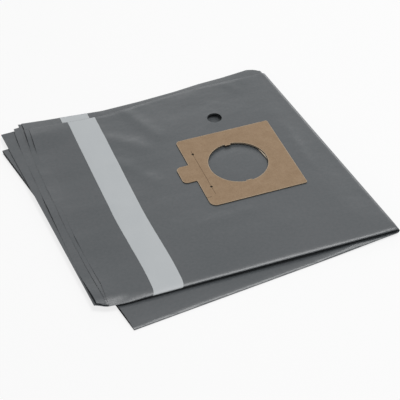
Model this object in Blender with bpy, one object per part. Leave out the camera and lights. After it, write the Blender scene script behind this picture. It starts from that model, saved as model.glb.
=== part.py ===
"""Plastic disposal bag for a wet and dry vacuum cleaner, folded flat as it is sold.

The bag is one lay-flat tube of polyethylene film. Its bottom end is welded shut and its mouth is open. It is
folded lengthwise like a letter and then once crosswise. The crosswise fold parts it into two leaves: the upper
leaf ends in the open mouth, and the lower leaf ends in the weld. In each leaf the tube has an outer fold part, a
middle part folded in between, and a second outer part:

    part 1  outermost, with the inlet, from its free side back to the lengthwise front fold
    part 3  tucked in from the back fold, its free side hidden inside
    part 2  innermost, from the front fold to the back fold

Each part has a ply of the front panel and a ply of the rear panel. A board flange is bonded round the inlet hole,
one board on each side of the film, and one pale strip crosses the front panel near the mouth.

Metres, +Z up, +X from the mouth to the crosswise fold, +Y from the front fold to the back fold.
The parts are modelled round the centre of the inlet hole and then carried to the middle of the bag's footprint.
"""
import bmesh
import bpy
import numpy as np
from mathutils import Matrix, Vector

# Film, boards and the spacing of the layers, between the middles of neighbouring plies
FILM_THICKNESS = 0.00012
BOARD_THICKNESS = 0.0009
CLEARANCE = 0.0003
PLY_GAP = 0.00092
LEAF_GAP = 0.0013
POCKET_SLACK = 0.0004
FOLD_RAMP = 0.035

# Outline of the upper leaf, from the centre of the inlet hole
FOLD_X_FRONT = 0.1270
FOLD_X_BACK = 0.0987
FRONT_Y = -0.1655
BACK_Y = 0.1480
SIDE_X = (-0.221, -0.190, -0.150, -0.118, -0.070, 0.011, 0.079, 0.093)
FREE_SIDE_Y = (0.1490, 0.1460, 0.1420, 0.1400, 0.1450, 0.1520, 0.1520, 0.1520)
BACK_FOLD_Y = (0.1670, 0.1607, 0.1567, 0.1536, 0.1550, 0.1625, 0.1685, 0.1610)
TUCK_DEPTH = 0.45
FRONT_TURN = 0.0110
FRONT_TURN_INNER = 0.0080
FRONT_TURN_AT_WELD = 0.0050
BACK_TURN = 0.0026
BACK_TURN_INNER = 0.0010
SIDE_TURN = 0.0011

# Mouth edge along each panel: part 1 at its free side and at the front fold, part 2 at the front fold and at the
# back fold, part 3 at the back fold and at its free side
FRONT_PANEL_MOUTH = (-0.2135, -0.2110, -0.2250, -0.2420, -0.2165, -0.2165)
REAR_PANEL_MOUTH = (-0.2150, -0.2175, -0.2240, -0.2280, -0.2205, -0.2190)
MOUTH_SPREAD = 0.11
MOUTH_REACH = 0.12
MOUTH_WAVES = ((21.0, 0.6, 0.0, 1.0), (47.0, 2.0, 6.0, 0.5))

# Welded end of the lower leaf
WELD_FRONT = (-0.1950, -0.1985)
WELD_BACK = (-0.2500, 0.1270)
WELD_REACH = 0.035
WELD_PLY_GAP = 0.0004

# Inlet, vent and flange
INLET_FILM_RADIUS = 0.0365
INLET_RADIUS = 0.0350
VENT_CENTRE = (0.0040, 0.0893)
VENT_RADIUS = 0.0081
BOARD_LEFT = -0.0565
BOARD_RIGHT = 0.0610
BOARD_FRONT = -0.0615
BOARD_BACK = 0.0595
BOARD_BACK_LEFT_RADIUS = 0.0050
BOARD_FRONT_LEFT_RADIUS = 0.0080
BOARD_RIGHT_RADIUS = 0.0022
TAB_REACH = 0.0160
TAB_WIDTH = 0.0290
TAB_RADIUS = 0.0060
LUG_WIDTH = 0.0065
LUG_DEPTHS = (0.0032, 0.0016)
PIN_RADIUS = 0.0014
PIN_INSET = 0.0115
PIN_Y = (0.0310, -0.0300)
CREASE_Y = (0.0370, -0.0430)
CREASE_WIDTH = 0.0006
CREASE_DEPTH = 0.00025
SLIT_Y = -0.0460
SLIT_LENGTH = 0.0057
SLIT_WIDTH = 0.0005
BACK_BOARD_MARGIN = 0.0015
BACK_BOARD_RADIUS = 0.0065
BACK_HOLE_RADIUS = 0.0358
BACK_HOLE_FLAT = 0.0333
BACK_HOLE_TURN = 8.0

# Pale strip
STRIP_THICKNESS = 0.00012
STRIP_WIDTH = 0.0335
STRIP_TO_MOUTH = 0.0490
STRIP_UNDER_SHIFT = 0.0055

# Mesh fineness
PART_STEPS = 8
TUCK_STEPS = 4
TURN_STEPS = 6
SIDE_STEPS = 2
LEAF_STEPS = 10
RAMP_STEPS = 4
FOLD_STEPS = 6
ROUND_STEPS = 64
PIN_STEPS = 12
STRIP_STEPS = 3

# Height of each ply over the mid plane between the leaves. Order: part 1 front panel, part 1 rear panel,
# part 3 front panel, part 3 rear panel, part 2 rear panel, part 2 front panel.
POCKET_GAP = FILM_THICKNESS + BOARD_THICKNESS + 2 * CLEARANCE + POCKET_SLACK
PLAIN_GAPS = np.array([LEAF_GAP / 2] + [PLY_GAP] * 5)
LOWER_PLIES = np.cumsum(PLAIN_GAPS)[::-1]
UPPER_PLIES = LOWER_PLIES + np.array([POCKET_GAP - PLY_GAP, 0, 0, 0, 0, 0])
MID_PLANE = FILM_THICKNESS / 2 + LOWER_PLIES[0]
TOP_HEIGHT = FILM_THICKNESS + LOWER_PLIES[0] + UPPER_PLIES[0]


def clear_scene():
    for old in list(bpy.data.objects):
        bpy.data.objects.remove(old)


def smooth(t):
    """0 below t = 0, 1 above t = 1, and a smooth S between."""
    t = np.clip(t, 0.0, 1.0)
    return t * t * (3.0 - 2.0 * t)


def turn_x(y):
    """Where the plies start to turn into the crosswise fold, a slanted line: the bag was folded a little askew."""
    share = (y - FRONT_Y) / (BACK_Y - FRONT_Y)
    return FOLD_X_FRONT + (FOLD_X_BACK - FOLD_X_FRONT) * share - LOWER_PLIES[0]


def away_from_fold(x, y):
    """0 at the crosswise fold, where both leaves are equally thick, and 1 beyond the ramp to the flange's pocket."""
    return smooth((turn_x(y) - x) / FOLD_RAMP)


def panel_columns(ply_order, turns, mouth):
    """Columns of one panel's cross section, from the middle of its first side fold to that of its second.

    ply_order: index of this panel's ply in parts 1, 2 and 3, and of the other panel's ply in parts 1 and 3.
    Each column has a weight for every ply, its share of the way from the front fold to the back, how far a turn
    carries it past that, its part of the way from part 1 to part 2, and its mouth edge.
    """
    one, two, three, other_one, other_three = ply_order
    front_turn, back_turn = turns
    flat = np.linspace(1.0, 0.0, PART_STEPS + 1)
    tuck = np.linspace(1.0, 1.0 - TUCK_DEPTH, TUCK_STEPS + 1)
    side = np.linspace(0.0, np.pi / 2, SIDE_STEPS + 1)[:-1]
    turn = np.linspace(0.0, np.pi, TURN_STEPS + 1)[1:-1]
    runs = []

    def add(first, second, blend, share, reach, under, edge):
        size = np.size(blend)
        weights = np.zeros((size, 6))
        weights[:, first] += 1.0 - blend
        weights[:, second] += blend
        columns = [np.broadcast_to(values, size) for values in (share, reach, under, edge)]
        runs.append(np.column_stack([weights, *columns]))

    half = 0.5 - 0.5 * np.cos(turn)
    add(one, other_one, 0.5 - 0.5 * np.sin(side), 1.0, SIDE_TURN * np.cos(side), 0.0, mouth[0])
    add(one, one, np.zeros(flat.size), flat, 0.0, 0.0, mouth[1] + (mouth[0] - mouth[1]) * flat)
    add(one, two, half, 0.0, -front_turn * np.sin(turn), half, mouth[1] + (mouth[2] - mouth[1]) * half)
    add(two, two, np.zeros(flat.size), flat[::-1], 0.0, 1.0, mouth[2] + (mouth[3] - mouth[2]) * flat[::-1])
    add(two, three, half, 1.0, back_turn * np.sin(turn), 1.0, mouth[3] + (mouth[4] - mouth[3]) * half)
    add(three, three, np.zeros(tuck.size), tuck, 0.0, 1.0,
        mouth[4] + (mouth[5] - mouth[4]) * (1.0 - tuck) / TUCK_DEPTH)
    last = side[::-1]
    add(three, other_three, 0.5 - 0.5 * np.sin(last), tuck[-1], -SIDE_TURN * np.cos(last), 1.0, mouth[5])
    return np.concatenate(runs)


def section_columns():
    """The tube's closed cross section: the front panel, then the rear panel in mirrored order."""
    front = panel_columns((0, 5, 2, 1, 3), (FRONT_TURN, BACK_TURN), FRONT_PANEL_MOUTH)
    rear = panel_columns((1, 4, 3, 0, 2), (FRONT_TURN_INNER, BACK_TURN_INNER), REAR_PANEL_MOUTH)
    loop = np.concatenate([front, rear[-2:0:-1]])
    return {"plies": loop[:, :6], "share": loop[:, 6], "reach": loop[:, 7], "under": loop[:, 8],
            "mouth": loop[:, 9], "panel_size": len(front)}


def upper_y(x, section):
    free_side = np.interp(x, SIDE_X, FREE_SIDE_Y) - SIDE_TURN
    back_fold = np.interp(x, SIDE_X, BACK_FOLD_Y) - BACK_TURN
    back = free_side + (back_fold - free_side) * section["under"]
    front = FRONT_Y + FRONT_TURN
    return front + section["share"] * (back - front) + section["reach"]


def part_near_mouth(lift, x, y):
    """Near the mouth the inner plies part from each other in soft waves along y, out of step ply by ply."""
    near = 1.0 - smooth((x - FRONT_PANEL_MOUTH[1]) / MOUTH_REACH)
    level = lift / UPPER_PLIES[0]
    wave = sum(size * np.sin(rate * y + start + step * level) for rate, start, step, size in MOUTH_WAVES)
    return lift + UPPER_PLIES[0] * MOUTH_SPREAD * near * wave * level * (1.0 - level)


def upper_leaf(x, section):
    """Points of the film's mid surface in the upper leaf, at the given x for each column."""
    y = upper_y(x, section)
    at_fold = section["plies"] @ LOWER_PLIES
    lift = at_fold + (section["plies"] @ UPPER_PLIES - at_fold) * away_from_fold(x, y)
    return np.stack([x, y, MID_PLANE + part_near_mouth(lift, x, y)], axis=-1)


def film_surface():
    """The film's mid surface as a grid: rows run from the mouth over the fold to the weld, columns go round."""
    section = section_columns()
    share, reach = section["share"], section["reach"]
    ramp_start = 1.0 - FOLD_RAMP / (FOLD_X_BACK - FRONT_PANEL_MOUTH[0])
    run = np.concatenate([np.linspace(0.0, ramp_start, LEAF_STEPS + 1)[:-1],
                          np.linspace(ramp_start, 1.0, RAMP_STEPS + 1)])[:, None]

    # The corner of the two folds is filled out: the plies of the front roll reach as far as the outermost ply
    in_front_roll = np.where(share == 0.0, -reach / FRONT_TURN, 0.0)
    x_fold = turn_x(upper_y(FOLD_X_BACK, section)) + in_front_roll * (LOWER_PLIES[0] - section["plies"] @ LOWER_PLIES)
    upper_x = section["mouth"] + (x_fold - section["mouth"]) * run
    upper = upper_leaf(upper_x, section)

    turn = np.linspace(0.0, np.pi, FOLD_STEPS + 1)[1:-1, None]
    outward = Vector((BACK_Y - FRONT_Y, FOLD_X_FRONT - FOLD_X_BACK)).normalized()
    radius = upper[-1, :, 2] - MID_PLANE
    start = upper[-1, :, :2]
    bulge = radius * np.sin(turn)
    height = MID_PLANE + radius * np.cos(turn)
    fold = np.stack([start[:, 0] + outward.x * bulge, start[:, 1] + outward.y * bulge, height], axis=-1)

    weld_front, weld_back = np.array(WELD_FRONT), np.array(WELD_BACK)
    weld_length = np.linalg.norm(weld_back - weld_front)
    along = (weld_back - weld_front) / weld_length
    weld_reach = np.where(share == 0.0, reach * FRONT_TURN_AT_WELD / FRONT_TURN, reach)
    inset = FRONT_TURN_AT_WELD + share * (weld_length - FRONT_TURN_AT_WELD - BACK_TURN) + weld_reach
    weld = weld_front + along * inset[:, None]
    run = 1.0 - run[::-1]
    plan = start + (weld - start) * run[:, :, None]
    depth = radius + (section["plies"] @ LOWER_PLIES - radius) * away_from_fold(plan[..., 0], plan[..., 1])
    lower = np.concatenate([plan, (MID_PLANE - depth)[..., None]], axis=-1)
    close_weld(lower, section, 1.0 - run)
    return np.concatenate([upper, fold, lower])


def close_weld(lower, section, share_to_weld):
    """Brings the rear panel down on the front panel where the weld closes the tube."""
    rear = np.arange(section["panel_size"], len(section["share"]))
    front = len(section["share"]) - rear
    length = FOLD_X_FRONT - WELD_FRONT[0]
    gap = np.linalg.norm(lower[-1, rear] - lower[-1, front], axis=-1)
    closing = smooth(1.0 - share_to_weld * length / WELD_REACH) * np.clip(1.0 - WELD_PLY_GAP / gap, 0.0, 1.0)
    lower[:, rear] += (lower[:, front] - lower[:, rear]) * closing[..., None]


def make_material(name, colour, roughness):
    material = bpy.data.materials.new(name)
    material.use_nodes = True
    shader = material.node_tree.nodes["Principled BSDF"]
    shader.inputs["Base Color"].default_value = (*colour, 1.0)
    shader.inputs["Roughness"].default_value = roughness
    return material


def add_object(name, mesh, material, location):
    item = bpy.data.objects.new(name, mesh)
    bpy.context.collection.objects.link(item)
    item.data.materials.append(material)
    item.location = location
    return item


def sheet(name, surface, faces, thickness, material, location):
    """A thin sheet whose mid surface is a grid of points."""
    mesh = bpy.data.meshes.new(name)
    mesh.from_pydata(surface.reshape(-1, 3).tolist(), [], faces)
    item = add_object(name, mesh, material, location)
    solidify = item.modifiers.new("Thickness", "SOLIDIFY")
    solidify.thickness = thickness
    solidify.offset = 0.0
    solidify.use_rim = True
    return item


def grid_faces(rows, columns, closed):
    """Quads of a grid of points, row after row; a closed grid joins its last column to its first."""
    row = np.arange(rows - 1)[:, None]
    column = np.arange(columns if closed else columns - 1)[None, :]
    after = (column + 1) % columns
    corners = [row * columns + column, row * columns + after,
               (row + 1) * columns + after, (row + 1) * columns + column]
    return np.stack(corners, axis=-1).reshape(-1, 4).tolist()


def make_bag_film(location):
    surface = film_surface()
    rows, columns, _ = surface.shape
    faces = grid_faces(rows, columns, closed=True)
    last = (rows - 1) * columns
    for k in range(columns // 2):
        outer, outer_next = last + k, last + k + 1
        inner, inner_next = last + (columns - k) % columns, last + columns - k - 1
        faces.append(list(dict.fromkeys((outer, outer_next, inner_next, inner))))
    material = make_material("grey polyethylene film", (0.13, 0.14, 0.15), 0.35)
    film = sheet("bag_film", surface, faces, FILM_THICKNESS, material, location)
    through_one, through_two = POCKET_GAP / 2, POCKET_GAP + PLY_GAP / 2
    cut_film_hole(film, "inlet_cutter", (0.0, 0.0), INLET_FILM_RADIUS, through_one, ROUND_STEPS, location)
    cut_film_hole(film, "vent_cutter", VENT_CENTRE, VENT_RADIUS, through_two, ROUND_STEPS, location)
    for k, y in enumerate(PIN_Y):
        centre = (BOARD_LEFT + PIN_INSET, y)
        cut_film_hole(film, f"pin_cutter_{k}", centre, PIN_RADIUS, through_one, PIN_STEPS, location)


def cut_film_hole(film, name, centre, radius, depth, steps, location):
    """A round hole from above the top ply to a depth below its middle."""
    work = bmesh.new()
    middle = Matrix.Translation((centre[0], centre[1], TOP_HEIGHT - FILM_THICKNESS / 2))
    bmesh.ops.create_cone(work, cap_ends=True, segments=steps, radius1=radius, radius2=radius,
                          depth=2 * depth, matrix=middle)
    mesh = bpy.data.meshes.new(name)
    work.to_mesh(mesh)
    work.free()
    cutter = bpy.data.objects.new(name, mesh)
    bpy.context.collection.objects.link(cutter)
    cutter.location = location
    cutter.hide_render = True
    cutter.display_type = "WIRE"
    cut = film.modifiers.new(name, "BOOLEAN")
    cut.operation = "DIFFERENCE"
    cut.object = cutter


def arc(centre, radius, start, end, steps):
    """Points on an arc, with its angles in degrees."""
    angles = np.radians(np.linspace(start, end, steps + 1))
    return [(centre[0] + radius * np.cos(a), centre[1] + radius * np.sin(a)) for a in angles]


def front_board_outline():
    """The plate with its pull tab and the slit in front of it, counter-clockwise from the right front corner."""
    right, tab = BOARD_RIGHT_RADIUS, TAB_RADIUS
    back_left, front_left = BOARD_BACK_LEFT_RADIUS, BOARD_FRONT_LEFT_RADIUS
    tab_left = BOARD_LEFT - TAB_REACH
    half = TAB_WIDTH / 2
    points = arc((BOARD_RIGHT - right, BOARD_FRONT + right), right, -90, 0, 3)
    points += arc((BOARD_RIGHT - right, BOARD_BACK - right), right, 0, 90, 3)
    points += arc((BOARD_LEFT + back_left, BOARD_BACK - back_left), back_left, 90, 180, 6)
    points += [(BOARD_LEFT, half)]
    points += arc((tab_left + tab, half - tab), tab, 90, 180, 6)
    points += arc((tab_left + tab, -half + tab), tab, 180, 270, 6)
    points += [(BOARD_LEFT, -half)]
    slit_back, slit_front = SLIT_Y + SLIT_WIDTH / 2, SLIT_Y - SLIT_WIDTH / 2
    points += [(BOARD_LEFT, slit_back), (BOARD_LEFT + SLIT_LENGTH, slit_back)]
    points += [(BOARD_LEFT + SLIT_LENGTH, slit_front), (BOARD_LEFT, slit_front)]
    points += arc((BOARD_LEFT + front_left, BOARD_FRONT + front_left), front_left, 180, 270, 6)
    return points


def inlet_outline():
    """The inlet hole with a small inward lug at its back and one at its front, clockwise."""
    half = LUG_WIDTH / 2
    lug = np.degrees(np.arcsin(half / INLET_RADIUS))
    back_depth, front_depth = LUG_DEPTHS
    points = arc((0, 0), INLET_RADIUS, 90 - lug, -90 + lug, ROUND_STEPS // 2)
    points += [(half, -INLET_RADIUS + front_depth), (-half, -INLET_RADIUS + front_depth)]
    points += arc((0, 0), INLET_RADIUS, -90 - lug, -270 + lug, ROUND_STEPS // 2)
    points += [(-half, INLET_RADIUS - back_depth), (half, INLET_RADIUS - back_depth)]
    return points


def pin_outline(centre_y):
    return arc((BOARD_LEFT + PIN_INSET, centre_y), PIN_RADIUS, 360, 0, PIN_STEPS)[:-1]


def back_board_outline():
    """The inner board: the same plate a little smaller all round, without the tab."""
    margin, radius = BACK_BOARD_MARGIN, BACK_BOARD_RADIUS
    left, right = BOARD_LEFT + margin + radius, BOARD_RIGHT - margin - radius
    front, back = BOARD_FRONT + margin + radius, BOARD_BACK - margin - radius
    points = arc((right, front), radius, -90, 0, 4) + arc((right, back), radius, 0, 90, 4)
    points += arc((left, back), radius, 90, 180, 4) + arc((left, front), radius, 180, 270, 4)
    return points


def flat_hole_outline():
    """The inner board's hole: round, with one straight side that narrows it on the right, clockwise."""
    half_angle = np.degrees(np.arccos(BACK_HOLE_FLAT / BACK_HOLE_RADIUS))
    return arc((0, 0), BACK_HOLE_RADIUS, BACK_HOLE_TURN - half_angle,
               BACK_HOLE_TURN + half_angle - 360, ROUND_STEPS)


def board(name, outline, holes, bottom, material, location):
    """A flat board cut to an outline with holes, extruded upward from its bottom face."""
    work = bmesh.new()
    edges = []
    for loop in [outline, *holes]:
        verts = [work.verts.new((x, y, bottom)) for x, y in loop]
        edges += [work.edges.new(pair) for pair in zip(verts, verts[1:] + verts[:1])]
    bmesh.ops.triangle_fill(work, use_beauty=True, use_dissolve=False, edges=edges)
    raised = bmesh.ops.extrude_face_region(work, geom=work.faces[:])
    lifted = [v for v in raised["geom"] if isinstance(v, bmesh.types.BMVert)]
    bmesh.ops.translate(work, verts=lifted, vec=(0, 0, BOARD_THICKNESS))
    bmesh.ops.recalc_face_normals(work, faces=work.faces[:])
    mesh = bpy.data.meshes.new(name)
    work.to_mesh(mesh)
    work.free()
    return add_object(name, mesh, material, location)


def make_front_board(location):
    """The outer board, with the crease that its tab end bends along pressed into its top."""
    bottom = TOP_HEIGHT + CLEARANCE
    holes = [inlet_outline()] + [pin_outline(y) for y in PIN_Y]
    material = make_material("brown kraft board", (0.30, 0.22, 0.15), 0.85)
    item = board("flange_front_board", front_board_outline(), holes, bottom, material, location)

    x, top = BOARD_LEFT + PIN_INSET, bottom + BOARD_THICKNESS
    work = bmesh.new()
    bmesh.ops.create_cube(work, size=1.0)
    bmesh.ops.scale(work, verts=work.verts[:], vec=(CREASE_WIDTH, CREASE_Y[0] - CREASE_Y[1], 2 * CREASE_DEPTH))
    bmesh.ops.translate(work, verts=work.verts[:], vec=(x, sum(CREASE_Y) / 2, top))
    mesh = bpy.data.meshes.new("crease_cutter")
    work.to_mesh(mesh)
    work.free()
    cutter = bpy.data.objects.new("crease_cutter", mesh)
    bpy.context.collection.objects.link(cutter)
    cutter.location = location
    cutter.hide_render = True
    cutter.display_type = "WIRE"
    crease = item.modifiers.new("Crease", "BOOLEAN")
    crease.operation = "DIFFERENCE"
    crease.object = cutter


def make_back_board(location):
    """The inner board, bonded to the underside of the film between the panels."""
    bottom = TOP_HEIGHT - FILM_THICKNESS - CLEARANCE - BOARD_THICKNESS
    material = make_material("grey-brown board", (0.42, 0.36, 0.30), 0.85)
    holes = [flat_hole_outline()] + [pin_outline(y) for y in PIN_Y]
    board("flange_back_board", back_board_outline(), holes, bottom, material, location)


def make_strip(location):
    """The pale strip on the outside of the front panel, which follows the film round both lengthwise folds."""
    section = section_columns()
    columns = np.arange(SIDE_STEPS, section["panel_size"] - SIDE_STEPS)
    sides = {key: section[key][columns] for key in ("plies", "share", "reach", "under")}
    left = FRONT_PANEL_MOUTH[0] + STRIP_TO_MOUTH - STRIP_UNDER_SHIFT * sides["under"]
    x = left + STRIP_WIDTH * np.linspace(0.0, 1.0, STRIP_STEPS + 1)[:, None]
    film = upper_leaf(x, sides)
    normal = np.cross(np.gradient(film, axis=1), np.gradient(film, axis=0))
    normal /= np.linalg.norm(normal, axis=-1, keepdims=True)
    lift = FILM_THICKNESS / 2 + CLEARANCE + STRIP_THICKNESS / 2
    surface = film + normal * lift
    faces = grid_faces(len(surface), columns.size, closed=False)
    material = make_material("pale polyethylene strip", (0.46, 0.48, 0.49), 0.45)
    sheet("closure_strip", surface, faces, STRIP_THICKNESS, material, location)


def main():
    clear_scene()
    surface = film_surface()
    low, high = surface.min(axis=(0, 1)), surface.max(axis=(0, 1))
    location = Vector((-(low[0] + high[0]) / 2, -(low[1] + high[1]) / 2, 0.0))
    make_bag_film(location)
    make_front_board(location)
    make_back_board(location)
    make_strip(location)


main()
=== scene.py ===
import bpy
import numpy as np
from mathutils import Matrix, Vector


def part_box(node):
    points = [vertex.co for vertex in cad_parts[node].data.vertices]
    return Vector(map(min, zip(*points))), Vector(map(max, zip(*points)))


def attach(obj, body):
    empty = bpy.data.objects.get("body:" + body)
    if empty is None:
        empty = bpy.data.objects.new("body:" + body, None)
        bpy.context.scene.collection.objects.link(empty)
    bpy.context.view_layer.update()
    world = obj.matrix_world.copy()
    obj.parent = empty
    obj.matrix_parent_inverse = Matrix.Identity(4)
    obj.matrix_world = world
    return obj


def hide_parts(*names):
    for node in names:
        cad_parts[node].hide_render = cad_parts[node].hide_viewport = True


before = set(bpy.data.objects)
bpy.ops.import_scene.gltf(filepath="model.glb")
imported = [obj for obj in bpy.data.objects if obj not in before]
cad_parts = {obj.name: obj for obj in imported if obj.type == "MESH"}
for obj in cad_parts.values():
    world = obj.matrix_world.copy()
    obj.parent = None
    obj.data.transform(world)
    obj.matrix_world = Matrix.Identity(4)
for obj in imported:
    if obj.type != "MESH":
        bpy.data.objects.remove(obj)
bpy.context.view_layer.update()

# Bag film
# One lay-flat tube of grey polyethylene, welded shut at its bottom end, lies folded lengthwise in three: part 1
# on top, part 2 at the bottom past the front fold, part 3 tucked between past the back fold. A crosswise fold
# makes two leaves of it. Sizes are millimetres from the inlet's centre, and heights are from the ground.
board_low, board_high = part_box("flange_front_board")
BOARD_RIGHT, BOARD_BACK = 61.0, 59.5
inlet_centre = np.array([board_high.x * 1000 - BOARD_RIGHT, board_high.y * 1000 - BOARD_BACK, 0.0])

# Distance of each ply's middle from the plane between the leaves. Order: part 1 front panel, part 1 rear panel,
# part 3 front panel, part 3 rear panel, part 2 rear panel, part 2 front panel. In the upper leaf the first two
# stand further apart, for the inner board.
FILM_THICKNESS, HALF_LEAF_GAP, PLY_PITCH, POCKET_ROOM = 0.08, 0.65, 0.92, 1.1
ply_numbers = np.arange(5.0, -1.0, -1.0)
LOWER_PLIES = HALF_LEAF_GAP + PLY_PITCH * ply_numbers
UPPER_PLIES = LOWER_PLIES + POCKET_ROOM * (ply_numbers == 5.0)
MID_PLANE = FILM_THICKNESS / 2 + LOWER_PLIES[0]
TOP_HEIGHT = FILM_THICKNESS + LOWER_PLIES[0] + UPPER_PLIES[0]

# The bag from above: x of the crosswise fold's edge at FRONT_Y and at BACK_Y, and the length over which the
# plies come together for it; y of the front fold, and of the free side and the back fold at a row of x, because
# both are a little wavy; and how much of the others' width part 3 has
FOLD_X_FRONT, FOLD_X_BACK, FOLD_RAMP = 127.0, 98.7, 35.0
FRONT_Y, BACK_Y = -164.7, 148.0
SIDE_X = (-221.0, -190.0, -150.0, -118.0, -70.0, -22.0, 11.0, 44.0, 79.0, 88.0, 93.0)
FREE_SIDE_Y = (149.0, 146.0, 142.0, 140.0, 145.0, 150.0, 152.0, 151.5, 152.0, 153.0, 152.0)
BACK_FOLD_Y = (165.5, 160.7, 156.7, 153.6, 155.0, 158.3, 162.5, 164.5, 168.5, 165.5, 161.0)
TUCK_DEPTH = 0.45
# How far the turns reach past the flat plies: front and back folds with the outer panel first, the flap's front
# fold at the weld, and the tube's own sides. FRONT_NOSE is the share of a front turn's height above its nose.
FRONT_TURNS, BACK_TURNS, FLAP_TURN, SIDE_TURN = (11.0, 8.0), (2.6, 1.0), 2.0, 1.1
FRONT_NOSE = 0.52

# The mouth's edge, on top at about MOUTH_X and cut a little unevenly. Shares of the way from the front fold to
# the back and x there, for parts 1 and 2; part 3 has one x. Round each fold the edge steps from one part's x to
# the next, at these shares of the turn.
FRONT_PANEL_MOUTH = {
    "one": ((0.0, 0.08, 0.27, 0.33, 0.70, 0.85, 1.0),
            (-210.5, -209.3, -212.4, -213.4, -215.2, -213.6, -211.5)),
    "two": ((0.0, 0.5, 1.0), (-225.0, -234.6, -244.5)),
    "three": -216.5}
REAR_PANEL_MOUTH = {
    "one": ((0.0, 0.2, 0.4, 0.8, 1.0), (-212.5, -216.0, -219.0, -220.5, -217.0)),
    "two": ((0.0, 0.15, 0.55, 0.87, 0.96, 1.0), (-221.8, -226.0, -228.7, -229.7, -228.8, -227.5)),
    "three": -220.7}
FRONT_STEP, BACK_STEP = (0.55, 0.80), (0.0, 0.03)
MOUTH_X = -213.5
# Columns of the cross section: shares close to the front fold and where even steps take over, then steps across
# the flat stretches of parts 1, 2 and 3, and round the front fold, the back fold and a side
NEAR_FOLD, EVEN_FROM = (0.0, 0.004, 0.008, 0.013, 0.02, 0.03, 0.05), 0.08
TOP_STEPS, UNDER_STEPS, TUCK_STEPS, ROLL_STEPS, TIGHT_STEPS, SIDE_STEPS = 53, 27, 16, 30, 10, 4
# What each column of the table that panel_columns makes holds
PLIES, SHARE, REACH, UNDER, EDGE = slice(0, 6), 6, 7, 8, 9


def smooth(t):
    """0 below t = 0, 1 above t = 1, and between them three t squared less two t cubed."""
    t = np.clip(t, 0.0, 1.0)
    return t * t * (3.0 - 2.0 * t)


def bell(distance, width):
    """1 at distance 0, falling by the exponential of minus the square of distance over width."""
    return np.exp(-((distance / width) ** 2))


def turn_x(y):
    """x where the plies start to turn into the crosswise fold: a straight line askew to the mouth."""
    askew = (FOLD_X_BACK - FOLD_X_FRONT) * (y - FRONT_Y) / (BACK_Y - FRONT_Y)
    return FOLD_X_FRONT + askew - LOWER_PLIES[0]


def panel_columns(plies, turns, mouth):
    """One panel's half of the tube's cross section, as rows of: six ply weights, share of the way to the back,
    how far a turn carries past that, part of the way from part 1 to part 2, and mouth edge. A turn is a half
    ellipse, but the front one is a quarter ellipse down to its nose and from there back under it a parabola."""
    one, two, three, other_one, other_three = plies
    flat = np.concatenate([NEAR_FOLD, np.linspace(EVEN_FROM, 1.0, TOP_STEPS + 1)])[::-1]
    under_flat = np.concatenate([NEAR_FOLD, np.linspace(EVEN_FROM, 1.0, UNDER_STEPS + 1)])
    tuck = np.linspace(1.0, 1.0 - TUCK_DEPTH, TUCK_STEPS + 1)
    side = np.linspace(0.0, np.pi / 2, SIDE_STEPS + 1)[:-1]
    turn = np.linspace(0.0, np.pi, ROLL_STEPS + 1)[1:-1]
    tight = np.linspace(0.0, np.pi, TIGHT_STEPS + 1)[1:-1]
    runs = []

    def add(first, second, blend, share, reach, under, edge):
        weights = np.zeros((np.size(blend), 6))
        weights[:, first] += 1.0 - blend
        weights[:, second] += blend
        columns = [np.broadcast_to(values, np.size(blend)) for values in (share, reach, under, edge)]
        runs.append(np.column_stack([weights, *columns]))

    half, tight_half = 0.5 - 0.5 * np.cos(turn), 0.5 - 0.5 * np.cos(tight)
    side_half, side_reach = 0.5 - 0.5 * np.sin(side), SIDE_TURN * np.cos(side)
    to_nose = np.clip(1.0 - half / FRONT_NOSE, 0.0, 1.0)
    past_nose = np.clip((half - FRONT_NOSE) / (1.0 - FRONT_NOSE), 0.0, 1.0)
    roll = np.sqrt(1.0 - to_nose ** 2) * (1.0 - past_nose ** 2)
    first, second, third = np.array(mouth["one"]), np.array(mouth["two"]), mouth["three"]
    front_step = smooth((half - FRONT_STEP[0]) / (FRONT_STEP[1] - FRONT_STEP[0]))
    back_step = smooth((tight_half - BACK_STEP[0]) / (BACK_STEP[1] - BACK_STEP[0]))
    front_edge = first[1, 0] + (second[1, 0] - first[1, 0]) * front_step
    back_edge = second[1, -1] + (third - second[1, -1]) * back_step
    add(one, other_one, side_half, 1.0, side_reach, 0.0, first[1, -1])
    add(one, one, 0.0 * flat, flat, 0.0, 0.0, np.interp(flat, *first))
    add(one, two, half, 0.0, -turns[0] * roll, half, front_edge)
    add(two, two, 0.0 * under_flat, under_flat, 0.0, 1.0, np.interp(under_flat, *second))
    add(two, three, tight_half, 1.0, turns[1] * np.sin(tight), 1.0, back_edge)
    add(three, three, 0.0 * tuck, tuck, 0.0, 1.0, third)
    add(three, other_three, side_half[::-1], tuck[-1], -side_reach[::-1], 1.0, third)
    return np.concatenate(runs)


front_panel = panel_columns((0, 5, 2, 1, 3), (FRONT_TURNS[0], BACK_TURNS[0]), FRONT_PANEL_MOUTH)
rear_panel = panel_columns((1, 4, 3, 0, 2), (FRONT_TURNS[1], BACK_TURNS[1]), REAR_PANEL_MOUTH)
section = np.concatenate([front_panel, rear_panel[-2:0:-1]])

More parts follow.
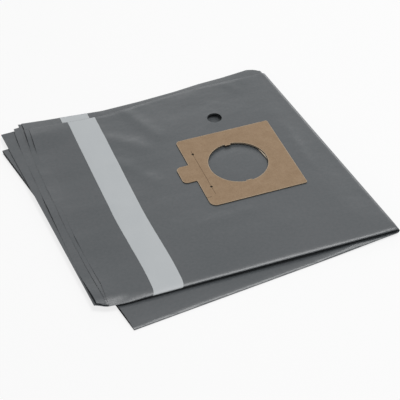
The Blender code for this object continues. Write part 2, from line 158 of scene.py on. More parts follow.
# At the mouth the plies lie close: distance of the lowest, pitch, how far inside the mouth this starts and the
# power that eases it in. In places they stand apart: below which ply, by how much, the middle of the gap, and
# its half length towards the back and towards the front.
LOWEST_AT_MOUTH, PITCH_AT_MOUTH, MOUTH_REACH, MOUTH_EASE = 0.95, 0.10, 75.0, 1.5
MOUTH_PLIES = LOWEST_AT_MOUTH + PITCH_AT_MOUTH * ply_numbers
MOUTH_GAPS = ((0, 1.9, 120.0, 20.0, 10.0), (0, 0.9, -54.0, 7.0, 9.0), (0, 0.6, -125.0, 30.0, 35.0),
              (1, 0.4, 30.0, 8.0, 8.0), (1, 0.25, -14.0, 10.0, 12.0), (1, 0.4, -125.0, 30.0, 35.0),
              (2, 2.4, 134.0, 34.0, 14.0), (4, 1.9, 133.0, 28.0, 11.0), (4, 0.6, 64.0, 8.0, 8.0),
              (4, 1.8, 8.0, 18.0, 42.0), (4, 3.4, -147.0, 26.0, 13.0))
# There the front fold is pressed flatter: by what share, from how far inside the mouth, over what length
ROLL_FLATTENING = ((0.2, 25.0, 25.0), (0.5, 0.0, 8.0))
# At the mouth's back corner the lower plies stop short of the fold line: how far each, from which x, over what
# length
CORNER_INSETS, CORNER_START, CORNER_REACH = np.array([0.0, 0.0, 0.0, -1.5, 5.0, 9.0]), -197.0, 24.0
# The top ply sinks towards the front fold, and the ply under the inlet rises into it: by how much, over what
# distance, and for the inlet also how far from its centre the slope begins
FRONT_SINKING, SINKING_REACH = 1.5, 45.0
INLET_RISE, INLET_RISE_LEVEL, INLET_RISE_SLOPE = 0.55, 20.0, 13.0
# Soft rises left in the top ply by handling: ends of the rise, height and half width. Two slow waves,
# multiplied: millimetres of x and of y that turn the phase by 1, and the phase at the inlet's centre. All of
# this ends round the flange: where on its left and in front of it, and over what length.
TOP_RISES = ((-92.0, 134.0, -71.0, 79.0, 0.9, 8.0), (-129.0, 95.0, -86.0, 62.0, 0.8, 9.0),
             (-130.0, 46.0, -101.0, 2.0, 0.7, 9.0), (41.0, 146.0, 50.0, 130.0, 0.7, 5.0),
             (-200.0, -10.0, -150.0, -22.0, 0.5, 8.0), (-205.0, -70.0, -165.0, -76.0, 0.5, 8.0),
             (-75.0, -82.0, -20.0, -80.0, 0.8, 7.0), (78.0, 40.0, 74.0, -20.0, 0.5, 7.0))
WAVE_HEIGHT, WAVES = 0.25, ((41.0, 67.0, 0.0), (-90.0, 38.0, 1.0))
LEVEL_LEFT, LEVEL_FRONT, RELIEF_FADE = -74.0, -62.0, 25.0
# Under the vent the plies are pressed in, in a round dish: its depth as a share of height, and its level middle
# and its slope in vent radii
VENT_CENTRE, VENT_RADIUS = (4.2, 87.6), 8.9
DISH_DEPTH, DISH_LEVEL, DISH_SLOPE = 0.55, 0.5, 1.6


def top_relief(x, y):
    """Sum of soft rises, each a bell across a short line, and of the product of two slow waves; none under the
    flange."""
    waves = [np.sin(x / per_x + y / per_y + start) for per_x, per_y, start in WAVES]
    rise = WAVE_HEIGHT * waves[0] * waves[1]
    for x1, y1, x2, y2, height, width in TOP_RISES:
        run_x, run_y = x2 - x1, y2 - y1
        along = np.clip(((x - x1) * run_x + (y - y1) * run_y) / (run_x ** 2 + run_y ** 2), 0.0, 1.0)
        rise = rise + height * bell(np.hypot(x - x1 - along * run_x, y - y1 - along * run_y), width)
    beside = np.maximum(LEVEL_LEFT - x, x - BOARD_RIGHT)
    before = np.maximum(LEVEL_FRONT - y, y - BOARD_BACK)
    return rise * smooth(np.maximum(beside, before) / RELIEF_FADE)


def press_under_vent(x, y, z, in_part_one):
    """Heights shrink by the dish's depth in its middle and not at all outside it, nor in part 1."""
    off = np.hypot(x - VENT_CENTRE[0], y - VENT_CENTRE[1])
    dish = 1.0 - smooth((off - DISH_LEVEL * VENT_RADIUS) / (DISH_SLOPE * VENT_RADIUS))
    return z * (1.0 - DISH_DEPTH * dish * (1.0 - in_part_one))


def upper_leaf(x, columns):
    """Points of the film's middle in the upper leaf. y goes from the front fold to the back by the column's
    share, and short of it at the mouth's back corner. Height is the ply's own, which sinks to a close stack
    with a few gaps at the mouth and towards the front fold in the top ply, rises a little into the inlet, and
    is pressed in under the vent."""
    weights, share, reach, under = columns[:, PLIES], columns[:, SHARE], columns[:, REACH], columns[:, UNDER]
    back = (np.interp(x, SIDE_X, FREE_SIDE_Y) - SIDE_TURN) * (1.0 - under)
    corner_inset = (weights * np.abs(weights)) @ CORNER_INSETS * smooth((CORNER_START - x) / CORNER_REACH)
    back = back + (np.interp(x, SIDE_X, BACK_FOLD_Y) - BACK_TURNS[0] - corner_inset) * under
    front = FRONT_Y + FRONT_TURNS[0]
    flatter = sum(part * smooth((MOUTH_X + inside - x) / length) for part, inside, length in ROLL_FLATTENING)
    reach = reach * np.where(share == 0.0, 1.0 - flatter, 1.0)
    y = front + share * (back - front) + reach
    loose = smooth((turn_x(y) - x) / FOLD_RAMP)
    near = smooth((MOUTH_X + MOUTH_REACH - x) / MOUTH_REACH) ** MOUTH_EASE
    lift = weights @ LOWER_PLIES * (1.0 - loose) + weights @ UPPER_PLIES * loose
    lift = lift - weights[:, 0] * FRONT_SINKING * loose * smooth(1.0 - (y - FRONT_Y) / SINKING_REACH)
    lift = lift + (weights @ MOUTH_PLIES - lift) * near
    for ply, height, middle, to_back, to_front in MOUTH_GAPS:
        above = weights[:, :ply + 1].sum(axis=1)
        lift = lift + above * near * height * bell(y - middle, np.where(y > middle, to_back, to_front))
    lift = lift + weights[:, 0] * top_relief(x, y) * loose * (1.0 - np.abs(reach) / FRONT_TURNS[0])
    from_level = np.hypot(x, y) - INLET_RISE_LEVEL
    lift = lift + weights[:, 1] * INLET_RISE * (1.0 - smooth(from_level / INLET_RISE_SLOPE))
    z = press_under_vent(x, y, MID_PLANE + lift, weights[:, :2].sum(axis=1))
    return np.stack([x, y, z], axis=-1)


# The upper leaf, in rows from the mouth to the fold. Inner plies start their turn later round the front fold,
# so that all of them end at one x there.
UPPER_STEPS, LOWER_STEPS, RAMP_STEPS, FOLD_STEPS = 60, 42, 12, 16
leaf_length = FOLD_X_BACK - MOUTH_X
ramp_share = 1.0 - FOLD_RAMP / leaf_length
run = np.concatenate([np.linspace(0.0, ramp_share, UPPER_STEPS + 1)[:-1],
                      np.linspace(ramp_share, 1.0, RAMP_STEPS + 1)])[:, None]
share, reach, under = section[:, SHARE], section[:, REACH], section[:, UNDER]
front = FRONT_Y + FRONT_TURNS[0]
back_at_fold = (FREE_SIDE_Y[-1] - SIDE_TURN) * (1.0 - under) + (BACK_FOLD_Y[-1] - BACK_TURNS[0]) * under
in_front_turn = np.where(share == 0.0, -reach / FRONT_TURNS[0], 0.0)
x_fold = turn_x(front + share * (back_at_fold - front) + reach)
x_fold = x_fold + in_front_turn * (LOWER_PLIES[0] - section[:, PLIES] @ LOWER_PLIES)
upper = upper_leaf(section[:, EDGE] + (x_fold - section[:, EDGE]) * run, section)

# The crosswise fold: each point of the last row swings round the plane between the leaves in a half circle
turn = np.linspace(0.0, np.pi, FOLD_STEPS + 1)[1:-1, None]
outward = Vector((BACK_Y - FRONT_Y, FOLD_X_FRONT - FOLD_X_BACK)).normalized()
start, radius = upper[-1, :, :2], upper[-1, :, 2] - MID_PLANE
swing = radius * np.sin(turn)
fold = np.stack([start[:, 0] + outward.x * swing, start[:, 1] + outward.y * swing,
                 MID_PLANE + radius * np.cos(turn)], axis=-1)

# The lower leaf runs from the fold to the weld, swung round so that its front shows as a flap. Along the way
# its front turn slims to the flap's own, and its plies thin towards that edge: by what share, over which
# share of the way, and within what width at the fold and how much more at the weld. Its top two plies bend
# down under the upper leaf's front fold and up in front of it (how deep, y and half width), and rise towards
# the back.
WELD_FRONT, WELD_BACK = np.array((-195.0, -198.5)), np.array((-250.0, 127.0))
SLIMMING_RUN = 0.25
FLAP_THINNING, THINNING_RUN, THINNING_WIDTH, THINNING_WIDENS = 0.6, 0.4, 24.0, 8.0
TOP_PAIR_BENDS = ((0.15, -161.0, 9.0), (-0.7, -182.0, 12.0))
BACK_RISE, BACK_RISE_Y, BACK_RISE_REACH = 0.55, 20.0, 60.0
weld_length = np.linalg.norm(WELD_BACK - WELD_FRONT)
lower_reach = np.where(share == 0.0, reach * FLAP_TURN / FRONT_TURNS[0], reach)
inset = FLAP_TURN + share * (weld_length - FLAP_TURN - BACK_TURNS[0]) + lower_reach
weld = WELD_FRONT + (WELD_BACK - WELD_FRONT) / weld_length * inset[:, None]
run = np.concatenate([np.linspace(0.0, 1.0 - ramp_share, RAMP_STEPS + 1),
                      np.linspace(1.0 - ramp_share, 1.0, LOWER_STEPS + 1)[1:]])[:, None]
plan = start + (weld - start) * run[:, :, None]
loose = smooth((turn_x(plan[..., 1]) - plan[..., 0]) / FOLD_RAMP)
depth = radius + (section[:, PLIES] @ LOWER_PLIES - radius) * loose
wide_turn = FRONT_TURNS[0] * (1.0 - run) + FLAP_TURN * run
slimmer = (wide_turn - FLAP_TURN) * smooth(run / SLIMMING_RUN)
slimmer = slimmer * np.where(share == 0.0, 1.0 + reach / FRONT_TURNS[0], 0.0)
plan[..., 1] -= slimmer
from_edge = (start[:, 1] - FRONT_Y) * (1.0 - run) + inset * run - slimmer
within = np.clip(1.0 - from_edge / (THINNING_WIDTH + THINNING_WIDENS * run), 0.0, 1.0)
depth = depth + (LOWER_PLIES[0] - depth) * FLAP_THINNING * smooth(run / THINNING_RUN) * within
in_top_pair = section[:, 4:6].sum(axis=1) * run ** 2
for deep, middle, width in TOP_PAIR_BENDS:
    depth = depth + in_top_pair * deep * bell(plan[..., 1] - middle, width)
depth = depth - in_top_pair * BACK_RISE * smooth((plan[..., 1] - BACK_RISE_Y) / BACK_RISE_REACH)
lower_z = press_under_vent(plan[..., 0], plan[..., 1], MID_PLANE - depth, 0.0)
lower = np.concatenate([plan, lower_z[..., None]], axis=-1)

# The weld draws the rear panel down onto the front panel
WELD_REACH, WELD_GAP = 35.0, 0.4
rear = np.arange(len(front_panel), len(section))
facing = len(section) - rear
gap = np.linalg.norm(lower[-1, rear] - lower[-1, facing], axis=-1)
closing = smooth(1.0 - (1.0 - run) * leaf_length / WELD_REACH) * np.clip(1.0 - WELD_GAP / gap, 0.0, 1.0)
lower[:, rear] += (lower[:, facing] - lower[:, rear]) * closing[..., None]
film_grid = np.concatenate([upper, fold, lower])


def grid_faces(rows, columns, closed):
    """Quads of a grid of points, row after row; a closed grid joins its last column to its first."""
    row = np.arange(rows - 1)[:, None] * columns
    column = np.arange(columns if closed else columns - 1)[None, :]
    after = (column + 1) % columns
    corners = [row + column, row + after, row + columns + after, row + columns + column]
    return np.stack(corners, axis=-1).reshape(-1, 4)


def grid_piece(name, grid, closed, more_faces=()):
    """A mesh from a grid of points in millimetres, with the flat sheet's own lengths in metres as its UV map: U
    is the distance along a row a third of the way down, V the distance down each column."""
    rows, columns, _ = grid.shape
    faces = grid_faces(rows, columns, closed)
    points = ((grid + inlet_centre) / 1000.0).reshape(-1, 3)
    mesh = bpy.data.meshes.new(name)
    mesh.from_pydata(points.tolist(), [], faces.tolist() + list(more_faces))
    ring = np.concatenate([grid, grid[:, :1]], axis=1)[rows // 3]
    across = np.linalg.norm(np.diff(ring, axis=0), axis=-1)
    down = np.linalg.norm(np.diff(grid, axis=0), axis=-1)
    u = np.concatenate([[0.0], np.cumsum(across)]) / 1000.0
    v = np.concatenate([np.zeros((1, columns)), np.cumsum(down, axis=0)]) / 1000.0
    corner = np.zeros(len(mesh.loops), np.int32)
    mesh.loops.foreach_get("vertex_index", corner)
    column = corner % columns
    face_corner = np.arange(len(corner)) % 4
    in_grid = np.arange(len(corner)) < faces.size
    seam = in_grid & (column == 0) & ((face_corner == 1) | (face_corner == 2))
    uv = np.stack([u[np.where(seam, columns, column)], v.reshape(-1)[corner]], axis=-1)
    mesh.uv_layers.new(name="flat_sheet").data.foreach_set("uv", uv.astype(np.float32).ravel())
    piece = bpy.data.objects.new(name, mesh)
    bpy.context.scene.collection.objects.link(piece)
    return piece


def thicken(piece, thickness):
    """Gives a sheet a wall of this thickness in millimetres, half of it to either side."""
    wall = piece.modifiers.new("Thickness", "SOLIDIFY")
    wall.thickness = thickness / 1000.0
    wall.offset = 0.0


def cut_with(piece, cutter):
    """Takes the cutter's volume out of the piece."""
    cut = piece.modifiers.new(cutter.name, "BOOLEAN")
    cut.operation = "DIFFERENCE"
    cut.solver = "EXACT"
    cut.object = cutter


def settle(piece, sharp_degrees=40.0):
    """Puts the result of the modifiers into the mesh, shades it smooth and keeps its cut edges sharp."""
    graph = bpy.context.evaluated_depsgraph_get()
    mesh = bpy.data.meshes.new_from_object(piece.evaluated_get(graph), preserve_all_data_layers=True,
                                           depsgraph=graph)
    piece.modifiers.clear()
    piece.data = mesh
    mesh.shade_smooth()
    mesh.set_sharp_from_angle(angle=np.radians(sharp_degrees))


def dress(piece, *finishes):
    """Gives a piece these materials and no others."""
    piece.data.materials.clear()
    for finish in finishes:
        piece.data.materials.append(finish)


def prism(name, outline, low, high):
    """A closed upright prism on an outline of points, counter-clockwise, in millimetres."""
    count = len(outline)
    ring = np.concatenate([np.column_stack([outline, np.full(count, height)]) for height in (low, high)])
    side = grid_faces(2, count, True).tolist()
    caps = [list(range(count))[::-1], list(range(count, 2 * count))]
    mesh = bpy.data.meshes.new(name)
    mesh.from_pydata(((ring + inlet_centre) / 1000.0).tolist(), [], side + caps)
    cutter = bpy.data.objects.new(name, mesh)
    bpy.context.scene.collection.objects.link(cutter)
    return cutter


def circle(centre, radius, steps):
    """Points round a circle, counter-clockwise."""
    angle = np.linspace(0.0, 2.0 * np.pi, steps, endpoint=False)
    return np.array(centre) + np.column_stack([np.cos(angle), np.sin(angle)]) * radius


columns = len(section)
last = (len(film_grid) - 1) * columns
weld_quads = [(last + k, last + k + 1, last + columns - k - 1, last + (columns - k) % columns)
              for k in range(columns // 2)]
weld_faces = [list(dict.fromkeys(quad)) for quad in weld_quads]
film = grid_piece("bag_film_sheet", film_grid, True, weld_faces)
thicken(film, FILM_THICKNESS)

# The inlet and two pin holes are punched in the top ply alone, and the vent in both plies of part 1. The cuts
# start above the board and go this deep from the top ply.
INLET_FILM_RADIUS, PIN_X, PIN_Y, PIN_RADIUS = 36.5, -45.0, (31.0, -30.0), 1.6
CUT_ABOVE, INLET_CUT, VENT_CUT, PIN_CUT = 3.0, 0.8, 2.6, 1.0
cut_top = TOP_HEIGHT + CUT_ABOVE
inlet_circle = circle((0.0, 0.0), INLET_FILM_RADIUS, 128)
inlet_cutter = prism("inlet_cutter", inlet_circle, TOP_HEIGHT - INLET_CUT, cut_top)
vent_cutter = prism("vent_cutter", circle(VENT_CENTRE, VENT_RADIUS, 64), TOP_HEIGHT - VENT_CUT, cut_top)
pin_cutters = [prism(f"pin_cutter_{k}", circle((PIN_X, y), PIN_RADIUS, 24), TOP_HEIGHT - PIN_CUT, cut_top)
               for k, y in enumerate(PIN_Y)]
for cutter in (inlet_cutter, vent_cutter, *pin_cutters):
    cut_with(film, cutter)
settle(film)


def linear(hex_colour):
    """A colour written as sRGB hex, turned to the linear values that the shader takes."""
    value = np.array([int(hex_colour[k:k + 2], 16) for k in (1, 3, 5)]) / 255.0
    return (*np.where(value <= 0.04045, value / 12.92, ((value + 0.055) / 1.055) ** 2.4), 1.0)


def node(tree, kind, settings=(), **links):
    """Adds one node. settings are its properties and the values of its sockets, links its sockets' sources. A
    link named n and a number goes to the socket of that number."""
    made = tree.nodes.new(kind)
    for name, value in dict(settings).items():
        if isinstance(name, str) and hasattr(made, name):
            setattr(made, name, value)
        else:
            made.inputs[name].default_value = value
    for name, source in links.items():
        socket = int(name[1:]) if name[0] == "n" and name[1:].isdigit() else name.replace("_", " ")
        tree.links.new(source, made.inputs[socket])
    return made


def new_material(name, **shader_values):
    """A material with a Principled shader and its values."""
    material = bpy.data.materials.new(name)
    material.use_nodes = True
    tree = material.node_tree
    shader = tree.nodes["Principled BSDF"]
    for socket, value in shader_values.items():
        shader.inputs[socket.replace("_", " ")].default_value = value
    return material, tree, shader


# Low-density polyethylene, pigmented grey and blown: satin, a little cloudy, with a fine grain, faint lines
# along the tube from the die and shallow crumples that break up its sheen. Die lines are 4 mm wide, crumples 45
# to 70 mm and clouds 90 to 130 mm across; the grain is drawn 3 to 4 mm across so that it shows.
polyethylene, tree, shader = new_material("grey polyethylene blown film", IOR=1.51, Roughness=0.27)
flat_sheet = node(tree, "ShaderNodeUVMap", {"uv_map": "flat_sheet"}).outputs["UV"]
lines_place = node(tree, "ShaderNodeMapping", {"Scale": (1 / 0.004, 1 / 0.300, 1.0)}, Vector=flat_sheet)
die_lines = node(tree, "ShaderNodeTexNoise", {"Scale": 1.0, "Detail": 2.0}, Vector=lines_place.outputs[0])
crumple_place = node(tree, "ShaderNodeMapping", {"Scale": (1 / 0.045, 1 / 0.070, 1.0)}, Vector=flat_sheet)
crumples = node(tree, "ShaderNodeTexNoise", {"Scale": 1.0, "Detail": 3.0, "Roughness": 0.45},
                Vector=crumple_place.outputs[0])
cloud_place = node(tree, "ShaderNodeMapping",
                   {"Scale": (1 / 0.090, 1 / 0.130, 1.0), "Location": (3.1, 7.7, 0.0)}, Vector=flat_sheet)
clouds = node(tree, "ShaderNodeTexNoise", {"Scale": 1.0, "Detail": 2.0}, Vector=cloud_place.outputs[0])
grain_place = node(tree, "ShaderNodeMapping", {"Scale": (1 / 0.003, 1 / 0.004, 1.0)}, Vector=flat_sheet)
grain = node(tree, "ShaderNodeTexNoise", {"Scale": 1.0, "Detail": 2.0}, Vector=grain_place.outputs[0])
cloudy = node(tree, "ShaderNodeMath", {"operation": "ADD"}, n0=clouds.outputs["Fac"], n1=grain.outputs["Fac"])
cloudiness = node(tree, "ShaderNodeMapRange", {"From Min": 0.7, "From Max": 1.3}, Value=cloudy.outputs[0])
tint = node(tree, "ShaderNodeMix", {"data_type": "RGBA", 6: linear("#4F5457"), 7: linear("#585B5E")},
            n0=cloudiness.outputs["Result"])
first_bump = node(tree, "ShaderNodeBump", {"Strength": 0.5, "Distance": 0.003}, Height=crumples.outputs["Fac"])
fine_bump = node(tree, "ShaderNodeBump", {"Strength": 0.10, "Distance": 0.00015},
                 Height=die_lines.outputs["Fac"], Normal=first_bump.outputs["Normal"])
tree.links.new(tint.outputs[2], shader.inputs["Base Color"])
tree.links.new(fine_bump.outputs["Normal"], shader.inputs["Normal"])
dress(film, polyethylene)
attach(film, "root")
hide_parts("bag_film")

# Pale strip
# A band of whitish polyethylene tape sealed flat on the outside of the front panel near the mouth. It goes with
# the film round both lengthwise folds, so its far end shows behind the free side of the top ply, a little to
# the left.
STRIP_WIDTH, STRIP_TO_MOUTH, STRIP_SHIFT, STRIP_STEPS = 33.5, 49.0, 5.5, 16
STRIP_THICKNESS, STRIP_CLEARANCE = 0.12, 0.08
# Near the front fold it bends to the right: by how much, and from and over which share of the way back
STRIP_BEND, BEND_FROM, BEND_OVER = 4.4, 0.42, 0.40
strip_columns = front_panel[SIDE_STEPS:-SIDE_STEPS]
left = MOUTH_X + STRIP_TO_MOUTH - STRIP_SHIFT * strip_columns[:, UNDER]
left = left + STRIP_BEND * smooth((BEND_FROM - strip_columns[:, SHARE]) / BEND_OVER)
across_strip = np.linspace(0.0, 1.0, STRIP_STEPS + 1)[:, None]
strip_middle = upper_leaf(left + STRIP_WIDTH * across_strip, strip_columns)
normal = np.cross(np.gradient(strip_middle, axis=1), np.gradient(strip_middle, axis=0))
normal /= np.linalg.norm(normal, axis=-1, keepdims=True)
off_film = FILM_THICKNESS / 2 + STRIP_CLEARANCE + STRIP_THICKNESS / 2
strip = grid_piece("pale_closure_strip", strip_middle + normal * off_film, False)
thicken(strip, STRIP_THICKNESS)
settle(strip)

# Whitish polyethylene tape: paler than the film and less glossy, with a faint mottle, so it looks soft and
# even.
tape, tree, shader = new_material("whitish polyethylene tape", IOR=1.51, Roughness=0.45)
flat_sheet = node(tree, "ShaderNodeUVMap", {"uv_map": "flat_sheet"}).outputs["UV"]
mottle_place = node(tree, "ShaderNodeMapping", {"Scale": (1 / 0.025, 1 / 0.018, 1.0)}, Vector=flat_sheet)
mottle = node(tree, "ShaderNodeTexNoise", {"Scale": 1.0, "Detail": 3.0}, Vector=mottle_place.outputs[0])
tint = node(tree, "ShaderNodeMix", {"data_type": "RGBA", 6: linear("#BBC0C3"), 7: linear("#C3C7C9")},
            n0=mottle.outputs["Fac"])
tape_bump = node(tree, "ShaderNodeBump", {"Strength": 0.2, "Distance": 0.0006}, Height=mottle.outputs["Fac"])
tree.links.new(tint.outputs[2], shader.inputs["Base Color"])
tree.links.new(tape_bump.outputs["Normal"], shader.inputs["Normal"])
dress(strip, tape)
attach(strip, "root")
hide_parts("closure_strip")

# Inner board
# Grey-brown board bonded to the underside of the film between the panels. Only a sliver of it shows through the
# inlet, where the straight side of its hole narrows the opening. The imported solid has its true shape.
inner_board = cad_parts["flange_back_board"]

# Unbleached test liner: grey-brown, matt, slightly flecked.
liner, tree, shader = new_material("grey-brown test liner", IOR=1.45, Roughness=0.85)
place = node(tree, "ShaderNodeTexCoord").outputs["Object"]
fleck = node(tree, "ShaderNodeTexNoise", {"Scale": 1 / 0.0018, "Detail": 2.0}, Vector=place)
tint = node(tree, "ShaderNodeMix", {"data_type": "RGBA", 6: linear("#B3A591"), 7: linear("#CCC0AE")},
            n0=fleck.outputs["Fac"])
tree.links.new(tint.outputs[2], shader.inputs["Base Color"])
dress(inner_board, liner)

# Outer board
# The flange that slides into the cleaner: kraft board 0.9 mm thick, die-cut with a round inlet, two small
# lugs, a pull tab, two pin holes and a crease with a slit beside its end, so that the tab side can bend up.
# Bonded over the film.
BOARD_LEFT, BOARD_FRONT = -56.5, -61.5
LEFT_RADIUS, LOW_LEFT_RADIUS, RIGHT_RADIUS = 5.0, 8.0, 2.2
TAB_REACH, TAB_WIDTH, TAB_RADIUS, TAB_FILLET = 16.0, 29.0, 6.0, 1.2
INLET_RADIUS, LUG_HALF, LUG_DEPTHS, LUG_FLANK = 35.0, 3.25, (2.5, 1.6), 0.012
EDGE_ROUND, RIM_WIDTH, EDGE_STEPS, FACE_STEPS = 0.15, 0.7, 3, 8
CREASE_WIDTH, CREASE_Y, CREASE_DEPTH = 0.4, (-43.0, 37.0), 0.15
SLIT_X, SLIT_Y = (-60.0, -50.8), (-46.25, -45.75)
# How far above and below the board's underside the cutters of the crease and the slit end
PAST_TOP, PAST_UNDERSIDE = 2, 1


def corner(centre, radius, start, end):
    """A quarter of a circle from one angle to another, in degrees, in eleven steps."""
    angle = np.radians(np.linspace(start, end, 12))
    return np.column_stack([centre[0] + radius * np.cos(angle), centre[1] + radius * np.sin(angle)])


def rectangle(x, y):
    """The four corners between two x and two y, counter-clockwise."""
    return np.array([(x[0], y[0]), (x[1], y[0]), (x[1], y[1]), (x[0], y[1])])


tab_left, tab_half = BOARD_LEFT - TAB_REACH, TAB_WIDTH / 2
corners = np.concatenate([
    corner((BOARD_RIGHT - RIGHT_RADIUS, BOARD_FRONT + RIGHT_RADIUS), RIGHT_RADIUS, -90, 0),
    corner((BOARD_RIGHT - RIGHT_RADIUS, BOARD_BACK - RIGHT_RADIUS), RIGHT_RADIUS, 0, 90),
    corner((BOARD_LEFT + LEFT_RADIUS, BOARD_BACK - LEFT_RADIUS), LEFT_RADIUS, 90, 180),
    corner((BOARD_LEFT - TAB_FILLET, tab_half + TAB_FILLET), TAB_FILLET, 0, -90),
    corner((tab_left + TAB_RADIUS, tab_half - TAB_RADIUS), TAB_RADIUS, 90, 180),
    corner((tab_left + TAB_RADIUS, -tab_half + TAB_RADIUS), TAB_RADIUS, 180, 270),
    corner((BOARD_LEFT - TAB_FILLET, -tab_half - TAB_FILLET), TAB_FILLET, 90, 0),
    corner((BOARD_LEFT + LOW_LEFT_RADIUS, BOARD_FRONT + LOW_LEFT_RADIUS), LOW_LEFT_RADIUS, 180, 270)])

# The outline gets a point at least every millimetre, and more where the lugs' flanks are, and each has its
# partner on the hole's edge in the same direction from the centre
closed = np.concatenate([corners, corners[:1]])
distance = np.concatenate([[0.0], np.cumsum(np.hypot(*np.diff(closed, axis=0).T))])
at = np.unique(np.concatenate([distance[:-1], np.arange(0.0, distance[-1], 1.0)]))
outline = np.column_stack([np.interp(at, distance, closed[:, k]) for k in (0, 1)])
angle = np.unwrap(np.arctan2(outline[:, 1], outline[:, 0]))
lug_angle = np.arctan(LUG_HALF / (INLET_RADIUS - LUG_DEPTHS[0]))
lug_marks = np.array([side * (lug_angle + edge) + np.pi / 2 + turned for turned in (0.0, np.pi)
                      for side in (-1, 1) for edge in (0.0, LUG_FLANK)])
lug_marks = angle[0] + (lug_marks - angle[0]) % (2 * np.pi)
angles = np.sort(np.concatenate([angle, lug_marks]))
long_angle = np.append(angle, angle[0] + 2 * np.pi)
long_outline = np.concatenate([outline, outline[:1]])
outer = np.column_stack([np.interp(angles, long_angle, long_outline[:, k]) for k in (0, 1)])
toward = np.column_stack([np.cos(angles), np.sin(angles)])
from_back = np.abs((angles - np.pi / 2 + np.pi) % (2 * np.pi) - np.pi)
lug = LUG_DEPTHS[0] * np.clip(1 - (from_back - lug_angle) / LUG_FLANK, 0, 1)
lug = lug + LUG_DEPTHS[1] * np.clip(1 - (np.pi - from_back - lug_angle) / LUG_FLANK, 0, 1)
inner = toward * (INLET_RADIUS - lug)[:, None]

# The board's section, carried once round between hole and outline: how far out, inset from either edge, height
board_bottom, thickness = board_low.z * 1000, (board_high.z - board_low.z) * 1000
bend = np.linspace(0.0, np.pi / 2, EDGE_STEPS + 1)
rise = np.concatenate([[0.0], thickness - EDGE_ROUND * (1 - np.sin(bend)), [thickness]])
edge_in = np.concatenate([[0.0], EDGE_ROUND * (1 - np.cos(bend)), [RIM_WIDTH]])
flat_share = np.linspace(0.0, 1.0, FACE_STEPS + 1)[1:-1]
out_share = np.concatenate([0 * rise, flat_share, 0 * rise + 1])
edge_inset = np.concatenate([edge_in, 0 * flat_share, -edge_in[::-1]])
height = np.concatenate([rise, 0 * flat_share + thickness, rise[::-1]])
length = np.linalg.norm(outer, axis=1) - np.linalg.norm(inner, axis=1)
distance_out = np.linalg.norm(inner, axis=1) + out_share[:, None] * length + edge_inset[:, None]
board_grid = np.stack([toward[:, 0] * distance_out, toward[:, 1] * distance_out,
                       np.broadcast_to((board_bottom + height)[:, None], distance_out.shape)], axis=-1)
rows, columns, _ = board_grid.shape
last = (rows - 1) * columns
bottom_quads = [[last + k, last + (k + 1) % columns, (k + 1) % columns, k] for k in range(columns)]
board = grid_piece("kraft_flange_board", board_grid, True, bottom_quads)

crease = rectangle((PIN_X - CREASE_WIDTH / 2, PIN_X + CREASE_WIDTH / 2), CREASE_Y)
cut_top = board_bottom + PAST_TOP
crease_cutter = prism("crease_cutter", crease, board_bottom + thickness - CREASE_DEPTH, cut_top)
slit_cutter = prism("slit_cutter", rectangle(SLIT_X, SLIT_Y), board_bottom - PAST_UNDERSIDE, cut_top)

# Unbleached kraft board: light brown, matt and dry, with short fibres at all angles and soft lighter clouds.
# Its fibres are about 0.1 mm wide, drawn 0.6 mm wide so that they show.
kraft, tree, shader = new_material("unbleached kraft board", IOR=1.45, Roughness=0.82)
place = node(tree, "ShaderNodeTexCoord").outputs["Object"]
cloud = node(tree, "ShaderNodeTexNoise", {"Scale": 1 / 0.011, "Detail": 3.0}, Vector=place)
along_x = node(tree, "ShaderNodeMapping", {"Scale": (1 / 0.0030, 1 / 0.0006, 1 / 0.0006)}, Vector=place)
along_y = node(tree, "ShaderNodeMapping", {"Scale": (1 / 0.0006, 1 / 0.0026, 1 / 0.0006)}, Vector=place)
fibres_x = node(tree, "ShaderNodeTexNoise", {"Scale": 1.0, "Detail": 1.0}, Vector=along_x.outputs[0])
fibres_y = node(tree, "ShaderNodeTexNoise", {"Scale": 1.0, "Detail": 1.0}, Vector=along_y.outputs[0])
fibres = node(tree, "ShaderNodeMath", {"operation": "MAXIMUM"}, n0=fibres_x.outputs["Fac"],
              n1=fibres_y.outputs["Fac"])
mixed = node(tree, "ShaderNodeMath", {"operation": "MULTIPLY_ADD", 1: 0.55}, n0=cloud.outputs["Fac"],
             n2=fibres.outputs[0])
shade = node(tree, "ShaderNodeMapRange", {"From Min": 0.55, "From Max": 1.05}, Value=mixed.outputs[0])
tint = node(tree, "ShaderNodeMix", {"data_type": "RGBA", 6: linear("#90775C"), 7: linear("#A58C71")},
            n0=shade.outputs["Result"])
fibre_bump = node(tree, "ShaderNodeBump", {"Strength": 0.25, "Distance": 0.0001}, Height=fibres.outputs[0])
tree.links.new(tint.outputs[2], shader.inputs["Base Color"])
tree.links.new(fibre_bump.outputs["Normal"], shader.inputs["Normal"])

# The board's rounded top edges: a painted highlight, a little paler than the face, and smoother.
highlight_rim_kraft, tree, shader = new_material("kraft rim with painted highlight", Base_Color=linear("#B19E86"), IOR=1.45,
                                       Roughness=0.7)

# The board's walls and underside, and the walls of the crease, the slit and the pin holes: dark brown, painted
# shade for walls and hollows that would lie in shadow.
shaded_wall_kraft, tree, shader = new_material("kraft walls with painted shade", Base_Color=linear("#57452F"), IOR=1.45,
                                           Roughness=0.9)
dress(board, kraft, highlight_rim_kraft, shaded_wall_kraft)
FACE_SLOT, HIGHLIGHT_RIM_SLOT, SHADED_WALL_SLOT = 0, 1, 2
# The rows round each top edge get the painted highlight; the walls and the underside get the painted shade.
highlight_rim_band = np.full(len(rise) - 2, HIGHLIGHT_RIM_SLOT)
band = np.concatenate([[SHADED_WALL_SLOT], highlight_rim_band, np.full(FACE_STEPS, FACE_SLOT), highlight_rim_band, [SHADED_WALL_SLOT]])
slots = np.concatenate([np.repeat(band, columns), np.full(columns, SHADED_WALL_SLOT)])
board.data.polygons.foreach_set("material_index", slots.astype(np.int32))
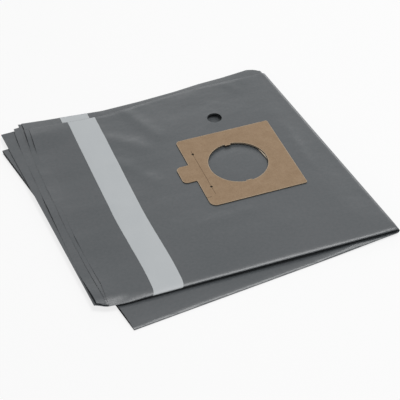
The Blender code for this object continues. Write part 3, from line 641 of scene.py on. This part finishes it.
# The walls of the crease, the slit and the pin holes take the painted shade from their cutters.
for cutter in (crease_cutter, slit_cutter, *pin_cutters):
    dress(cutter, shaded_wall_kraft)
    cut_with(board, cutter)
settle(board, 50.0)
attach(board, "root")
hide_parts("flange_front_board")

for cutter in (inlet_cutter, vent_cutter, crease_cutter, slit_cutter, *pin_cutters):
    bpy.data.objects.remove(cutter)

# Studio
# A pale floor that keeps the bag's shadow and a white backdrop from the world. A large soft lamp overhead
# draws a thin highlight along the front roll; two weak ones, low behind and beside the bag, show its relief.
# The camera stands where the photograph was taken from. Lengths are metres.
FLOOR_HALF, FLOOR_DROP = 6.0, 0.0002
floor_corners = ((-FLOOR_HALF, -FLOOR_HALF), (FLOOR_HALF, -FLOOR_HALF), (FLOOR_HALF, FLOOR_HALF),
                 (-FLOOR_HALF, FLOOR_HALF))
floor_mesh = bpy.data.meshes.new("studio_floor")
floor_mesh.from_pydata([(x, y, -FLOOR_DROP) for x, y in floor_corners], [], [(0, 1, 2, 3)])
floor = bpy.data.objects.new("studio_floor", floor_mesh)
bpy.context.scene.collection.objects.link(floor)


def seen_rays(tree):
    """1 for a camera, glossy or transmission ray, which shows the backdrop, and 0 for a ray that lights."""
    rays = node(tree, "ShaderNodeLightPath")
    seen = node(tree, "ShaderNodeMath", {"operation": "MAXIMUM"}, n0=rays.outputs["Is Camera Ray"],
                n1=rays.outputs["Is Glossy Ray"])
    seen = node(tree, "ShaderNodeMath", {"operation": "MAXIMUM"}, n0=seen.outputs[0],
                n1=rays.outputs["Is Transmission Ray"])
    return seen.outputs[0]


# White studio paper: matt, and for the rays that see it mostly its own even white, with its shadows kept.
paper = bpy.data.materials.new("white studio paper")
paper.use_nodes = True
tree = paper.node_tree
tree.nodes.clear()
matt = node(tree, "ShaderNodeBsdfDiffuse", {"Color": linear("#F4F4F4")})
glow = node(tree, "ShaderNodeEmission", {"Color": linear("#FFFFFF"), "Strength": 1.04})
amount = node(tree, "ShaderNodeMath", {"operation": "MULTIPLY", 1: 0.75}, n0=seen_rays(tree))
both = node(tree, "ShaderNodeMixShader", {}, n0=amount.outputs[0], n1=matt.outputs[0], n2=glow.outputs[0])
node(tree, "ShaderNodeOutputMaterial", {}, Surface=both.outputs[0])
dress(floor, paper)

world = bpy.data.worlds.new("white studio")
bpy.context.scene.world = world
world.use_nodes = True
tree = world.node_tree
tree.nodes.clear()
level = node(tree, "ShaderNodeMapRange", {"To Min": 0.35, "To Max": 1.0}, Value=seen_rays(tree))
sky = node(tree, "ShaderNodeBackground", {"Color": linear("#FFFFFF")}, Strength=level.outputs["Result"])
node(tree, "ShaderNodeOutputWorld", {}, Surface=sky.outputs[0])


def area_lamp(name, place, size, power):
    """A square lamp at a place in metres, aimed at the bag."""
    light = bpy.data.lights.new(name, "AREA")
    light.size = size
    light.energy = power
    lamp = bpy.data.objects.new(name, light)
    bpy.context.scene.collection.objects.link(lamp)
    lamp.location = place
    lamp.rotation_euler = (-Vector(place)).to_track_quat("-Z", "Y").to_euler()


area_lamp("overhead_softbox", (0.62, -0.10, 2.2), 1.1, 25.0)
area_lamp("back_softbox", (1.05, 3.40, 1.80), 0.6, 2.2)
area_lamp("side_softbox", (1.40, 1.55, 0.76), 0.6, 3.0)

# The camera's azimuth and elevation, how far it stands from the point that it looks at, its focal length in
# millimetres, and how far from the inlet's centre that point lies
AZIMUTH, ELEVATION, DISTANCE, FOCAL_LENGTH = np.radians(20.723), np.radians(41.923), 1.5498, 123.52
AIM_X, AIM_Y = -0.06479, -0.045456
level_look = np.cos(ELEVATION)
look = Vector((np.sin(AZIMUTH) * level_look, np.cos(AZIMUTH) * level_look, -np.sin(ELEVATION)))
aim = Vector(inlet_centre / 1000) + Vector((AIM_X, AIM_Y, TOP_HEIGHT / 1000))
camera_data = bpy.data.cameras.new("camera")
camera_data.sensor_width = 36.0
camera_data.lens = FOCAL_LENGTH
camera_data.clip_start, camera_data.clip_end = 0.05, 50.0
camera = bpy.data.objects.new("camera", camera_data)
bpy.context.scene.collection.objects.link(camera)
camera.location = aim - look * DISTANCE
camera.rotation_euler = look.to_track_quat("-Z", "Y").to_euler()
bpy.context.scene.camera = camera
bpy.context.scene.view_settings.view_transform = "Standard"

bpy.context.view_layer.update()
